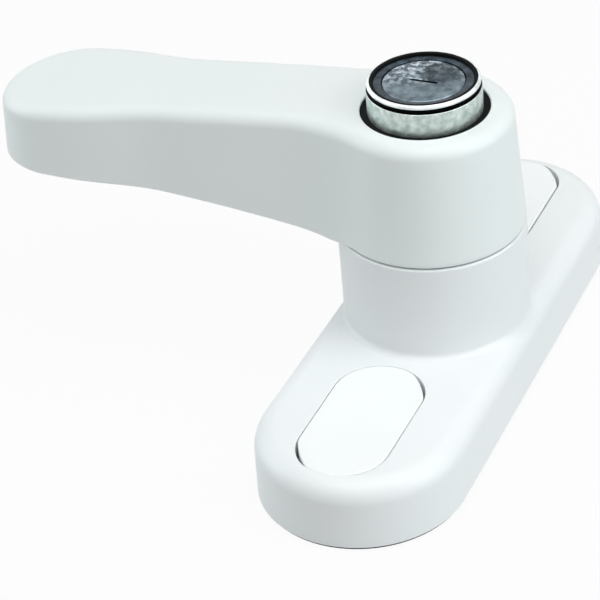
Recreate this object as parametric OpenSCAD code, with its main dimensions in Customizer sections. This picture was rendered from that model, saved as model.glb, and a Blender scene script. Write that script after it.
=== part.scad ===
// Lockable window handle: a lever on a long base, with a push-in key lock in its hub.
// Origin: on the lever's axis, in the plane that meets the window frame.
// +Z points away from the frame, Y runs along the base, the lever points to -X.

/* [Base] */
// Length of the base
base_l = 89; // [84:1:100]
// Width of the base
base_w = 30; // [30:0.5:36]
// Height of the base's flat top above the frame
base_t = 10.4; // [10:0.1:13]
// Radius of the base's rounded top edge
base_edge_r = 3; // [1:0.25:3.5]
// Side wall of the hollow base
base_wall = 2.6; // [2:0.1:3]
// Thickness of the seal under the base
gasket_t = 0.5; // [0.4:0.1:1]
// How far the seal stays inside the base's outline
gasket_inset = 0.5; // [0.3:0.1:1]

/* [Boss] */
// Diameter of the round boss that carries the lever
boss_d = 27.2; // [26:0.2:28]
// Height of the boss above the base's flat top
boss_h = 15.1; // [14:0.1:20]
// Radius of the fillet at the foot of the boss
boss_fillet_r = 0.8; // [0.4:0.1:1.2]
// Gap between the boss and the lever's hub
seam_gap = 0.3; // [0.2:0.05:0.5]

/* [Screws and caps] */
// Distance between the two fixing screws
screw_spacing = 58; // [56:0.5:60]
// Diameter of a fixing screw's hole
screw_hole_d = 5; // [4:0.1:5.5]
// Diameter of a fixing screw's countersunk head
screw_head_d = 9.4; // [8:0.1:10]
// Length of the recess that a cap fills
cap_l = 25.5; // [22:0.25:26]
// Width of the recess that a cap fills
cap_w = 13.3; // [12:0.1:14]
// Depth of that recess
cap_depth = 3.2; // [2.6:0.1:3.6]
// Gap round a cap
cap_gap = 0.3; // [0.1:0.05:0.4]
// Wall of a cap
cap_wall = 1.3; // [0.8:0.1:1.6]
// Thickness of the web under a recess
recess_floor_t = 2.4; // [1.8:0.1:2.6]

/* [Lever] */
// Distance from the lever's axis to the tip
lever_l = 67; // [60:0.5:80]
// Diameter of the hub at its top
hub_d = 24.6; // [23.6:0.2:26]
// Height of the hub
hub_h = 18.2; // [17:0.2:22]
// Width of the grip at its widest
grip_w = 20.2; // [18:0.2:22]
// Width of the lever's waist
waist_w = 16.6; // [13:0.2:17.4]
// Radius of the flare from the waist into the hub
flare_r = 30; // [18:1:40]
// Fall of the lever's top towards the tip, in degrees
top_fall = 5.6; // [2:0.2:8]
// Radius of the curve from the hub's flat top into that fall
top_bend_r = 60; // [30:5:120]
// Length along the lever of the blend from the grip to the waist
grip_blend = 16; // [10:1:22]
// Height of the straight underside above the hub's lower face
under_rise = 3.5; // [2:0.1:5]
// Radius of the arc that takes the underside down to the hub
under_arc_r = 344; // [200:4:400]
// Slope of the side walls from the vertical, in degrees
wall_draft = 4; // [1:0.5:5]
// Radius of the lever's top edges
lever_edge_r = 1.9; // [0.8:0.1:2.2]

/* [Neck] */
// Diameter of the neck that turns in the boss
neck_d = 13.2; // [12.8:0.1:13.2]
// Side of the square hole that takes the spindle
socket_w = 7.1; // [6:0.1:7.2]
// Depth of that square hole
socket_l = 16; // [12:0.5:18]
// Diameter over the flats that the detent springs press on
cam_flats = 11.6; // [11.2:0.1:11.8]

/* [Lock] */
// Diameter of the lock barrel
barrel_d = 16.2; // [15.6:0.1:16.4]
// Wall of the guide ring between the barrel and the hub's bore
guide_wall = 1; // [0.8:0.05:1.4]
// How far the barrel stands out of the hub when it is unlocked
barrel_proud = 4.4; // [4.2:0.1:6]
// How far the barrel is pushed in to lock
push_travel = 4; // [3.6:0.1:4.1]
// Diameter of the plug that the key turns
plug_d = 11.7; // [11:0.1:12]
// Width of the keyway
keyway_w = 4.6; // [4:0.2:6.4]
// Thickness of the keyway
keyway_t = 1.1; // [1:0.1:2]
// Number of wafers in the plug
wafer_count = 4; // [2:1:4]
// Diameter of the locking pin
pin_d = 2; // [1.6:0.1:2.1]

/* [Hidden] */
$fn = 64;

// Clearances
run_gap = 0.05;      // turning and sliding fits
seat_gap = 0.02;     // pressed fits
thrust_gap = 0.05;   // end faces that turn on each other

// Heights in the base, from the frame upwards
plate_t = 1.2;
plate_z = gasket_t;
neck_z = plate_z + plate_t + 0.3;
cam_h = 3;
circlip_t = 1;
circlip_z = neck_z + cam_h + 0.4;
washer_t = 0.8;
washer_z = circlip_z + circlip_t + thrust_gap;
web_z = washer_z + washer_t + thrust_gap;
recess_z = base_t - cap_depth;
hollow_z = recess_z - recess_floor_t;
boss_z = base_t + boss_h;

// Heights in the hub
hub_z = boss_z + seam_gap;
hub_top = hub_z + hub_h;
hub_floor_t = 3.8;
hub_floor_z = hub_z + hub_floor_t;
barrel_top = hub_top + barrel_proud;
spring_packed_h = 2.4;
flange_z = hub_floor_z + push_travel + spring_packed_h;
flange_t = 2.2;
guide_z = flange_z + flange_t + 2 * thrust_gap;
guide_top = hub_top - 0.35;

// Radii round the lever's axis
bore_d = barrel_d + 2 * guide_wall + 2 * run_gap;
neck_r = neck_d / 2;
bush_r = neck_r + 1.6;
pin_r = pin_d / 2;
flange_r = bore_d / 2 - run_gap;
pin_pitch_r = flange_r - pin_r - 0.3;
ring_r = boss_d / 2 - 2.4;
cavity_r = 11;
plate_r = base_w / 2 - base_wall - 0.1;
plate_seat_r = plate_r + 0.1;
spindle_way_r = socket_w / 2 * sqrt(2) + 0.6;
circlip_groove_r = neck_r - 0.8;

// Locking pin and ring: the pushed-in pin ends just above the ring's lower face
pin_rest_z = hub_z + 0.4;
pin_seat = flange_t - 0.5;
ring_t = push_travel - seam_gap - 0.4 + 0.1;
ring_z = boss_z - ring_t;
notch_angles = [0, 90, 180, 270];

// Plug and its tail, which drops through a slot in the hub's floor
barrel_floor_t = 1.6;
plug_z = flange_z + barrel_floor_t;
plug_top = barrel_top - 0.35;
face_r = barrel_d / 2 - 0.65;
face_t = 0.5;
seal_w = 0.8;
tail_r = 1.5;
tail_bar_l = 5.6;
tail_bar_w = 1.8;
tail_bar_t = 1.4;
tail_bar_z = hub_floor_z + 0.4;
tail_ledge_t = 1.8;
tail_chamber_z = tail_bar_z - push_travel - 0.6;
tail_chamber_r = tail_bar_l / 2 + 0.4;
wafer_t = 0.9;
wafer_w = 4.8;
wafer_pitch = (plug_top - plug_z - 3) / wafer_count;
wafer_l = 2 * sqrt(pow(plug_d / 2 - 0.1, 2) - pow(wafer_w / 2, 2));

// Return spring
spring_wire_r = 0.35;
spring_r = 4.7;
spring_turns = 3.5;
spring_sides = 8;
spring_steps = 22;

// Lever outline at the hub's top face, from the tip round to the far side of the hub
grip_r = grip_w / 2;
waist_r = waist_w / 2;
hub_r = hub_d / 2;
tip_x = -(lever_l - grip_r);
blend_from_x = tip_x + grip_r * 0.3;
blend_to_x = blend_from_x + grip_blend;
flare_x = -sqrt(pow(hub_r + flare_r, 2) - pow(waist_r + flare_r, 2));
flare_angle = atan2(waist_r + flare_r, flare_x);
top_flat_x = -hub_r - 1.7;
under_end_x = -hub_r + 1;
edge_steps = 6;
under_chamfer = 0.4;

// Shared shapes

// Half of a cross-section with its upper outer corner rounded
module rounded_half(w, h, r) {
    square([w / 2 - r, h]);
    square([w / 2, h - r]);
    translate([w / 2 - r, h - r]) circle(r);
}

// Round-ended block along Y with its top edge rounded
module stadium(l, w, h, r) {
    for (turn = [0, 180])
        rotate(turn) translate([0, (l - w) / 2]) rotate_extrude(angle = 180) rounded_half(w, h, r);
    rotate([90, 0, 0]) linear_extrude(l - w, center = true) {
        rounded_half(w, h, r);
        mirror([1, 0]) rounded_half(w, h, r);
    }
}

// Round-ended block along Y with square edges
module slot_block(l, w, h) {
    for (s = [-1, 1]) translate([0, s * (l - w) / 2]) cylinder(h = h, d = w);
    translate([-w / 2, -(l - w) / 2]) cube([w, l - w, h]);
}

module tube(h, r_out, r_in) {
    difference() {
        cylinder(h = h, r = r_out);
        translate([0, 0, -1]) cylinder(h = h + 2, r = r_in);
    }
}

module at_screws() {
    for (s = [-1, 1]) translate([0, s * screw_spacing / 2]) children();
}

// Base

module base_shell() {
    translate([0, 0, gasket_t]) stadium(base_l, base_w, base_t - gasket_t, base_edge_r);
    translate([0, 0, gasket_t]) cylinder(h = boss_z - gasket_t, d = boss_d);
    translate([0, 0, base_t]) boss_foot();
}

// Ring with a hollow fillet, where the boss stands on the base's flat top
module boss_foot() {
    flat_w = base_w - 2 * base_edge_r;
    intersection() {
        rotate_extrude() difference() {
            translate([boss_d / 2 - 1, -1]) square([boss_fillet_r + 1, boss_fillet_r + 1]);
            translate([boss_d / 2 + boss_fillet_r, boss_fillet_r]) circle(boss_fillet_r);
        }
        translate([-flat_w / 2, -boss_d, -1]) cube([flat_w, 2 * boss_d, boss_fillet_r + 1]);
    }
}

// Hollow under the base, with a pillar at each screw and ribs along the middle
module base_hollow() {
    hollow_h = hollow_z - gasket_t;
    rib_t = 1.6;
    difference() {
        translate([0, 0, gasket_t - 1])
            slot_block(base_l - 2 * base_wall, base_w - 2 * base_wall, hollow_h + 1);
        at_screws() cylinder(h = hollow_z, d = screw_head_d + 2);
        translate([-rib_t / 2, -base_l / 2]) cube([rib_t, base_l, hollow_z]);
        cylinder(h = hollow_z, r = plate_seat_r + 1.2);
    }
}

module screw_way() {
    sink_h = (screw_head_d - screw_hole_d) / 2;
    translate([0, 0, -1]) cylinder(h = base_t, d = screw_hole_d);
    translate([0, 0, recess_z - sink_h])
        cylinder(h = sink_h, d1 = screw_hole_d, d2 = screw_head_d);
}

module base_casting() {
    color("whitesmoke") difference() {
        base_shell();
        base_hollow();
        at_screws() {
            translate([0, 0, recess_z]) slot_block(cap_l, cap_w, cap_depth + 1);
            screw_way();
        }
        translate([0, 0, -1]) cylinder(h = web_z + 1, r = cavity_r);
        translate([0, 0, -1]) cylinder(h = plate_z + plate_t + 1, r = plate_seat_r);
        cylinder(h = boss_z, r = bush_r + seat_gap);
        translate([0, 0, ring_z]) cylinder(h = ring_t + 1, r = ring_r + seat_gap);
    }
}

module screw_cap(side) {
    cap_h = cap_depth + 0.1;
    cap_edge_r = 0.5;
    outer_l = cap_l - 2 * cap_gap;
    outer_w = cap_w - 2 * cap_gap;
    color("white") translate([0, side * screw_spacing / 2, recess_z]) difference() {
        stadium(outer_l, outer_w, cap_h, cap_edge_r);
        translate([0, 0, -1])
            slot_block(outer_l - 2 * cap_wall, outer_w - 2 * cap_wall, cap_h - cap_wall + 1);
    }
}

module base_gasket() {
    color("dimgray") difference() {
        slot_block(base_l - 2 * gasket_inset, base_w - 2 * gasket_inset, gasket_t);
        at_screws() translate([0, 0, -1]) cylinder(h = gasket_t + 2, d = screw_hole_d + 1);
        translate([0, 0, -1]) cylinder(h = gasket_t + 2, r = spindle_way_r);
    }
}

module backing_plate() {
    color("silver") translate([0, 0, plate_z]) tube(plate_t, plate_r, spindle_way_r);
}

module bearing_bush() {
    color("ivory") translate([0, 0, web_z]) tube(ring_z - web_z, bush_r, neck_r + run_gap);
}

// Ring with a notch for the locking pin at each quarter turn, open to the neck
module lock_ring() {
    notch_r = pin_r + 2 * run_gap;
    color("lightsteelblue") translate([0, 0, ring_z]) difference() {
        tube(ring_t, ring_r, neck_r + 2 * run_gap);
        for (a = notch_angles) rotate(a) translate([0, 0, -1]) {
            translate([pin_pitch_r, 0]) cylinder(h = ring_t + 2, r = notch_r);
            translate([0, -notch_r]) cube([pin_pitch_r, 2 * notch_r, ring_t + 2]);
        }
    }
}

module hub_washer() {
    color("black") translate([0, 0, boss_z + seat_gap])
        tube(seam_gap - 2 * seat_gap, boss_d / 2 - 0.5, pin_pitch_r + pin_r + 0.6);
}

// Two bowed leaves that press on the flats of the neck
module detent_springs() {
    leaf_t = 0.5;
    leaf_h = cam_h - 0.6;
    leaf_span = 2 * sqrt(pow(cavity_r - 0.25, 2) - pow(cam_flats / 2 + 1.6, 2));
    bow_r = 30;
    color("lightgray") for (turn = [0, 180])
        rotate(turn) translate([cam_flats / 2 + run_gap, 0, neck_z + 0.3]) intersection() {
            translate([bow_r, 0]) tube(leaf_h, bow_r, bow_r - leaf_t);
            translate([0, -leaf_span / 2]) cube([bow_r / 2, leaf_span, leaf_h]);
        }
}

// Lever

// Half-width of the grip and waist at a place along the lever
function side_y(x) =
    let (t = max(0, min(1, (x - blend_from_x) / (blend_to_x - blend_from_x))))
    waist_r + (grip_r - waist_r) * (1 + cos(180 * t)) / 2;

// Half outline from the tip to the far side of the hub
half_outline = concat(
    [for (a = [180:-9:99]) [tip_x + grip_r * cos(a), grip_r * sin(a)]],
    [for (k = [0:15]) let (x = tip_x + (flare_x - tip_x) * k / 15) [x, side_y(x)]],
    [for (k = [1:6]) let (a = 270 + (flare_angle - 90) * k / 7)
        [flare_x + flare_r * cos(a), waist_r + flare_r + flare_r * sin(a)]],
    [for (k = [0:20]) let (a = flare_angle * (1 - k / 20)) [hub_r * cos(a), hub_r * sin(a)]]
);

// Whole outline, counter-clockwise from the tip
half_count = len(half_outline);
outline = concat(
    [for (p = half_outline) [p[0], -p[1]]],
    [for (i = [half_count - 2:-1:1]) half_outline[i]]
);
outline_count = len(outline);

// Outward direction at each point of the outline
outline_out = [for (i = [0:outline_count - 1])
    let (d = outline[(i + 1) % outline_count] - outline[(i + outline_count - 1) % outline_count])
    [d[1], -d[0]] / norm(d)];

// Height of the top: flat over the hub, a bend, then a straight fall
top_bend_run = top_bend_r * sin(top_fall);
function lever_top(x) =
    let (
        run = max(0, top_flat_x - x),
        bend = min(run, top_bend_run)
    )
    hub_top - top_bend_r + sqrt(pow(top_bend_r, 2) - pow(bend, 2)) - (run - bend) * tan(top_fall);

// Height of the underside: straight under the grip, then an arc down into the hub
under_run = sqrt(pow(under_arc_r, 2) - pow(under_arc_r - under_rise, 2));
under_from_x = under_end_x - under_run;
function lever_under(x) =
    let (run = max(0, min(under_run, x - under_from_x)))
    hub_z + under_rise - under_arc_r + sqrt(pow(under_arc_r, 2) - pow(run, 2));

// One ring of points: the outline let out to the wall's slope, less an inset, at a height
function wall_out(z) = (hub_top - z) * tan(wall_draft);
function lever_ring(inset, rise, from_top) = [for (i = [0:outline_count - 1])
    let (
        x = outline[i][0],
        z = from_top ? lever_top(x) - rise : lever_under(x) + rise,
        p = outline[i] + outline_out[i] * (wall_out(z) - inset)
    ) [p[0], p[1], z]];

edge_angles = [for (k = [0:edge_steps]) 90 * k / edge_steps];
lever_rings = concat(
    [lever_ring(under_chamfer, 0, false), lever_ring(0, under_chamfer, false)],
    [for (a = edge_angles) lever_ring(lever_edge_r * (1 - cos(a)), lever_edge_r * (1 - sin(a)), true)]
);

module lever_body() {
    rings = len(lever_rings);
    n = outline_count;
    half = n / 2;
    polyhedron(
        points = [for (ring = lever_rings) each ring],
        faces = concat(
            [for (k = [0:rings - 2], i = [0:n - 1]) let (j = (i + 1) % n)
                [k * n + i, (k + 1) * n + i, (k + 1) * n + j]],
            [for (k = [0:rings - 2], i = [0:n - 1]) let (j = (i + 1) % n)
                [k * n + i, (k + 1) * n + j, k * n + j]],
            lever_lid(0, true), lever_lid((rings - 1) * n, false)
        )
    );
}

// Faces across a ring, between points that mirror each other
function lever_lid(first, down) =
    let (n = outline_count, half = n / 2)
    [for (i = [0:half - 1])
        let (
            a = first + i,
            b = first + i + 1,
            c = first + (n - i - 1) % n,
            d = first + (n - i) % n,
            loop = i == 0 ? [a, b, c] : i == half - 1 ? [a, b, d] : [a, b, c, d]
        )
        down ? loop : [for (k = [len(loop) - 1:-1:0]) loop[k]]];

module neck() {
    top = hub_z + 1;
    difference() {
        translate([0, 0, neck_z]) cylinder(h = top - neck_z, r = neck_r);
        translate([0, 0, circlip_z - 0.1]) tube(circlip_t + 0.2, neck_r + 1, circlip_groove_r);
        translate([0, 0, neck_z - 1]) difference() {
            cylinder(h = cam_h + 1, r = neck_r + 1);
            translate([-cam_flats / 2, -cam_flats / 2]) cube([cam_flats, cam_flats, cam_h + 1]);
        }
    }
}

// Round foot of the hub, just inside the lever's own walls
module hub_foot() {
    inside = 0.1;
    translate([0, 0, hub_z])
        cylinder(h = hub_h / 2, r1 = hub_r + wall_out(hub_z) - inside, r2 = hub_r + wall_out(hub_z + hub_h / 2) - inside);
}

module lever_casting() {
    color("whitesmoke") difference() {
        union() {
            lever_body();
            hub_foot();
            neck();
        }
        translate([0, 0, hub_floor_z]) cylinder(h = hub_h, d = bore_d);
        translate([-socket_w / 2, -socket_w / 2, neck_z - 1]) cube([socket_w, socket_w, socket_l + 1]);
        translate([-pin_pitch_r, 0, hub_z - 1]) cylinder(h = hub_floor_t + 2, r = pin_r + run_gap);
        translate([0, 0, tail_chamber_z])
            cylinder(h = hub_floor_z - tail_ledge_t - tail_chamber_z, r = tail_chamber_r);
        translate([0, 0, hub_floor_z - tail_ledge_t - 1])
            slot_block(tail_bar_l + 0.4, tail_bar_w + 0.4, tail_ledge_t + 2);
        translate([0, 0, hub_floor_z - tail_ledge_t - 1]) cylinder(h = tail_ledge_t + 2, r = tail_r + 2 * run_gap);
    }
}

module neck_circlip() {
    gap_angle = 50;
    color("silver") translate([0, 0, circlip_z]) difference() {
        tube(circlip_t, neck_r + 1.9, circlip_groove_r + run_gap);
        rotate(-gap_angle / 2) translate([0, 0, -1]) rotate_extrude(angle = gap_angle)
            square([neck_r + 3, circlip_t + 2]);
    }
}

module neck_washer() {
    color("silver") translate([0, 0, washer_z]) tube(washer_t, cavity_r - 0.5, neck_r + run_gap);
}

module guide_ring() {
    color("black") translate([0, 0, guide_z])
        tube(guide_top - guide_z, bore_d / 2 - seat_gap, barrel_d / 2 + run_gap);
}

// Lock

// Outline of the barrel's wall: flange, plain length, thin groove and rounded rim
module barrel_profile() {
    rim_h = 0.5;
    groove_h = 0.5;
    groove_depth = 0.35;
    rim_r = barrel_d / 2 - 0.15;
    rim_edge_r = 0.4;
    rim_z = barrel_top - rim_h;
    difference() {
        union() {
            translate([0, flange_z]) square([flange_r, flange_t]);
            translate([0, flange_z]) square([barrel_d / 2, rim_z - groove_h - flange_z]);
            translate([0, flange_z]) square([barrel_d / 2 - groove_depth, rim_z - flange_z]);
            translate([0, rim_z]) square([rim_r, rim_h - rim_edge_r]);
            translate([0, rim_z]) square([rim_r - rim_edge_r, rim_h]);
            translate([rim_r - rim_edge_r, barrel_top - rim_edge_r]) circle(rim_edge_r);
        }
        translate([-1, plug_z - thrust_gap]) square([plug_d / 2 + run_gap + 1, barrel_top]);
        translate([-1, barrel_top - face_t]) square([face_r + seat_gap + 1, face_t + 1]);
        translate([-1, flange_z - 1]) square([tail_r + run_gap + 1, barrel_top]);
    }
}

module lock_barrel() {
    color("gainsboro") difference() {
        rotate_extrude() barrel_profile();
        translate([-pin_pitch_r, 0, flange_z - 1]) cylinder(h = pin_seat + 1, r = pin_r + seat_gap);
    }
}

// Seal that lies in the barrel's rim, round the face ring
module face_seal() {
    color("black") translate([0, 0, barrel_top - face_t])
        tube(face_t - 0.1, face_r, face_r - seal_w);
}

module face_ring() {
    color("darkslategray") translate([0, 0, barrel_top - face_t])
        tube(face_t - 0.2, face_r - seal_w - seat_gap, plug_d / 2 + run_gap);
}

module locking_pin() {
    tip_h = 0.5;
    collar_h = 0.8;
    color("silver") translate([-pin_pitch_r, 0]) {
        translate([0, 0, pin_rest_z]) cylinder(h = tip_h, r1 = pin_r - tip_h, r2 = pin_r);
        translate([0, 0, pin_rest_z + tip_h])
            cylinder(h = flange_z + pin_seat - seat_gap - pin_rest_z - tip_h, r = pin_r);
        translate([0, 0, flange_z - collar_h - seat_gap]) cylinder(h = collar_h, r = pin_r + 0.25);
    }
}

// Round wire along a helix, as one closed sweep
module return_spring() {
    rise = flange_z - hub_floor_z - 2 * (spring_wire_r + thrust_gap);
    steps = spring_turns * spring_steps;
    rings = [for (k = [0:steps]) let (a = 360 * k / spring_steps)
        [for (s = [0:spring_sides - 1]) let (b = 360 * s / spring_sides, r = spring_r + spring_wire_r * cos(b))
            [r * cos(a), r * sin(a),
                hub_floor_z + thrust_gap + spring_wire_r + rise * k / steps + spring_wire_r * sin(b)]]];
    last = steps * spring_sides;
    color("silver") polyhedron(
        points = [for (ring = rings) each ring],
        faces = concat(
            [for (k = [0:steps - 1], s = [0:spring_sides - 1])
                let (a = k * spring_sides, b = a + spring_sides, t = (s + 1) % spring_sides)
                [a + s, a + t, b + t, b + s]],
            [[for (s = [spring_sides - 1:-1:0]) s]],
            [[for (s = [0:spring_sides - 1]) last + s]]
        )
    );
}

module lock_plug() {
    edge = 0.3;
    color("slategray") difference() {
        union() {
            translate([0, 0, plug_z]) cylinder(h = plug_top - plug_z - edge, d = plug_d);
            translate([0, 0, plug_top - edge])
                cylinder(h = edge, d1 = plug_d, d2 = plug_d - 2 * edge);
        }
        translate([-keyway_w / 2, -keyway_t / 2, plug_z + 2.2])
            cube([keyway_w, keyway_t, plug_top]);
        for (k = [0:wafer_count - 1])
            translate([-plug_d, -wafer_w / 2 - run_gap, wafer_z(k) - run_gap])
                cube([2 * plug_d, wafer_w + 2 * run_gap, wafer_t + 2 * run_gap]);
        translate([0, 0, plug_z - 1]) cylinder(h = 2.8, r = tail_r + seat_gap);
    }
}

function wafer_z(k) = plug_z + 2.2 + k * wafer_pitch;

// Flat wafers that the key lines up, each with a window for the blade
module wafers() {
    color("gold") for (k = [0:wafer_count - 1]) translate([0, 0, wafer_z(k)]) difference() {
        translate([-wafer_l / 2, -wafer_w / 2]) cube([wafer_l, wafer_w, wafer_t]);
        translate([-keyway_w / 2 - 0.2, -keyway_t / 2 - 0.2, -1])
            cube([keyway_w + 0.4, keyway_t + 0.4, wafer_t + 2]);
    }
}

// Shaft under the plug, with a cross-bar that locks below the hub's floor
module tail_bar() {
    color("silver") {
        translate([0, 0, tail_bar_z]) cylinder(h = plug_z + 1.7 - tail_bar_z, r = tail_r);
        translate([0, 0, tail_bar_z]) slot_block(tail_bar_l, tail_bar_w, tail_bar_t);
    }
}

module plug_clip() {
    clip_t = 0.6;
    color("silver") translate([0, 0, flange_z - clip_t - thrust_gap])
        tube(clip_t, spring_r - spring_wire_r - 0.6, tail_r + seat_gap);
}

base_casting();
screw_cap(-1);  // screw_cap_front
screw_cap(1);  // screw_cap_rear
base_gasket();
backing_plate();
bearing_bush();
lock_ring();
hub_washer();
detent_springs();
lever_casting();
neck_circlip();
neck_washer();
guide_ring();
lock_barrel();
face_seal();
face_ring();
locking_pin();
return_spring();
lock_plug();
tail_bar();
plug_clip();
wafers();
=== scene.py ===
"""Dressed scene of a lockable window handle.

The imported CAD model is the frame. The pieces that show are modelled again with smooth
meshes over their CAD nodes, the inner pieces keep their CAD meshes, and every surface
gets a procedural finish. Sizes are in millimetres and become metres in the meshes.
"""

from __future__ import annotations

import logging
import math
from dataclasses import dataclass
from enum import Enum
from typing import Iterable, Sequence

import bmesh
import bpy
from bmesh.types import BMEdge, BMesh, BMVert
from bpy.types import ID, Material, Node, NodeSocket, NodeTree, Object
from mathutils import Matrix, Vector

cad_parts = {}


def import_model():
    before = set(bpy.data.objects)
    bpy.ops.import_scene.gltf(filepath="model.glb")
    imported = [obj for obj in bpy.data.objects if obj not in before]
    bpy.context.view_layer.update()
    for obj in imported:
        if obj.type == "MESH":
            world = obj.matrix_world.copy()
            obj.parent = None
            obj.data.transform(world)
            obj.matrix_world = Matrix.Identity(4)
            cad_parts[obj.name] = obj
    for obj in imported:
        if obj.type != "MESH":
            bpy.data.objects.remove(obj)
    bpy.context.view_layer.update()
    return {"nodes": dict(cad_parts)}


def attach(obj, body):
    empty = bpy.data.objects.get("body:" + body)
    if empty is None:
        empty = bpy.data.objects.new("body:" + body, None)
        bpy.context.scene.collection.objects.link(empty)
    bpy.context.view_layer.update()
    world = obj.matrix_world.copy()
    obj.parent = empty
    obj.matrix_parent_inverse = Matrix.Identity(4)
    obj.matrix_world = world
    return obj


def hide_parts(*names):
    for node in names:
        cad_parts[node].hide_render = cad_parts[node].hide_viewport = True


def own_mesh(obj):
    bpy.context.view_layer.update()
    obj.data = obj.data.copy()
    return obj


LOG = logging.getLogger("window_handle")
MM = 0.001
SHARP_ANGLE = math.radians(32)
SAME = 1e-7  # metres within which two places are one
NEAR = 1e-6  # metres within which a vertex lies on a wanted ring
LEVEL = 0.99  # least Z in the normal of a face that lies flat
ENDS = (-1, 1)  # the base's end near the camera, and its far end
NOISE_SPAN = (0.3, 0.7)  # part of a noise's values that a blend is spread over
WAVE_RATE = 20.0  # factor that the wave texture puts on its own scale
MIX_SHARE, MIX_UNDER, MIX_OVER = 0, 6, 7  # a Mix node's share and its two colours, by number
MIX_RESULT = 2  # its blended colour


class Body(Enum):
    """Moving bodies of the handle."""

    BASE = "base"
    LEVER = "lever"
    BARREL = "barrel"
    PLUG = "plug"


class ToolMarks(Enum):
    """Way in which a metal's tool marks run: round its side or round its face."""

    SIDE = "BANDS"
    FACE = "RINGS"


def linear(colour: str) -> tuple[float, float, float, float]:
    """Turns an sRGB hex value into a linear colour.

    Args:
        colour: six hex digits with a leading hash.

    Returns:
        Red, green, blue and alpha.
    """
    parts = [int(colour[i : i + 2], 16) / 255 for i in (1, 3, 5)]
    red, green, blue = (p / 12.92 if p <= 0.04045 else ((p + 0.055) / 1.055) ** 2.4 for p in parts)
    return red, green, blue, 1.0


def per_metre(size_mm: float) -> float:
    """Gives a texture scale whose features have about this size."""
    return 1.0 / (size_mm * MM)


def add_node(
    tree: NodeTree,
    kind: str,
    values: dict[str | int, object] | None = None,
    links: dict[str | int, NodeSocket] | None = None,
    **settings: object,
) -> Node:
    """Adds one shader node with its settings and links.

    Args:
        tree: node tree that gets the node.
        kind: Blender's type name of the node.
        values: default values by input name or number.
        links: feeding output sockets by input name or number.
        settings: attributes of the node.

    Returns:
        The new node.
    """
    node = tree.nodes.new(kind)
    for key, setting in settings.items():
        setattr(node, key, setting)
    for key, value in (values or {}).items():
        node.inputs[key].default_value = value
    for key, socket in (links or {}).items():
        tree.links.new(socket, node.inputs[key])
    return node


def seen_rays(tree: NodeTree) -> NodeSocket:
    """Finds the rays that show a surface straight, in metal or through glass.

    Args:
        tree: node tree that gets the nodes.

    Returns:
        An output that is 1 on those rays and 0 on the rest.
    """
    path = add_node(tree, "ShaderNodeLightPath").outputs
    seen = path["Is Camera Ray"]
    for kind in ("Is Glossy Ray", "Is Transmission Ray"):
        either = add_node(tree, "ShaderNodeMath", None, {0: seen, 1: path[kind]}, operation="MAXIMUM")
        seen = either.outputs["Value"]
    return seen


@dataclass(frozen=True)
class MaterialNodes:
    """Nodes of a material that its finish fills in: tree, main shader and coordinates."""

    tree: NodeTree
    shader: Node
    place: NodeSocket

    def feed(self, name: str, socket: NodeSocket) -> None:
        """Links an output to one of the main shader's inputs."""
        self.tree.links.new(socket, self.shader.inputs[name])

    def mottle(
        self, size_mm: float, low: str | float, high: str | float, detail: float = 2.0
    ) -> NodeSocket:
        """Blends two colours or two numbers by a soft noise.

        Args:
            size_mm: size of the noise's patches.
            low: colour or number in the noise's lows.
            high: colour or number in its highs.
            detail: octaves of the noise.

        Returns:
            The blended output.
        """
        scale = {"Scale": per_metre(size_mm), "Detail": detail}
        noise = add_node(self.tree, "ShaderNodeTexNoise", scale, {"Vector": self.place})
        start, end = NOISE_SPAN
        if isinstance(low, float):
            span = {"From Min": start, "From Max": end, "To Min": low, "To Max": high}
            blend = add_node(self.tree, "ShaderNodeMapRange", span, {"Value": noise.outputs["Fac"]})
            return blend.outputs["Result"]
        ramp = add_node(self.tree, "ShaderNodeValToRGB", None, {"Fac": noise.outputs["Fac"]})
        for element, position, colour in zip(ramp.color_ramp.elements, NOISE_SPAN, (low, high)):
            element.position = position
            element.color = linear(colour)
        return ramp.outputs["Color"]

    def pebble(self, size_mm: float, detail: float, strength: float, depth_mm: float) -> None:
        """Raises a fine noise on the surface.

        Args:
            size_mm: size of its grains.
            detail: octaves of the noise.
            strength: share of the bump that shows.
            depth_mm: height of the grains.
        """
        scale = {"Scale": per_metre(size_mm), "Detail": detail}
        noise = add_node(self.tree, "ShaderNodeTexNoise", scale, {"Vector": self.place})
        height = {"Strength": strength, "Distance": depth_mm * MM}
        bump = add_node(self.tree, "ShaderNodeBump", height, {"Height": noise.outputs["Fac"]})
        self.feed("Normal", bump.outputs["Normal"])


@dataclass(frozen=True)
class Finish:
    """Common part of every finish: a name, a record slot and a node-based material."""

    name: str
    slot: str

    def material(self) -> Material:
        """Makes the material once and gives it back on later calls.

        Returns:
            The finish's material.
        """
        made = bpy.data.materials.get(self.name)
        if made is None:
            made = bpy.data.materials.new(self.name)
            made.use_nodes = True
            tree = made.node_tree
            place = add_node(tree, "ShaderNodeTexCoord").outputs["Object"]
            self.shade(MaterialNodes(tree, tree.nodes["Principled BSDF"], place))
        return made

    def shade(self, nodes: MaterialNodes) -> None:
        """Fills in the shader; each finish has its own."""
        raise NotImplementedError


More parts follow.
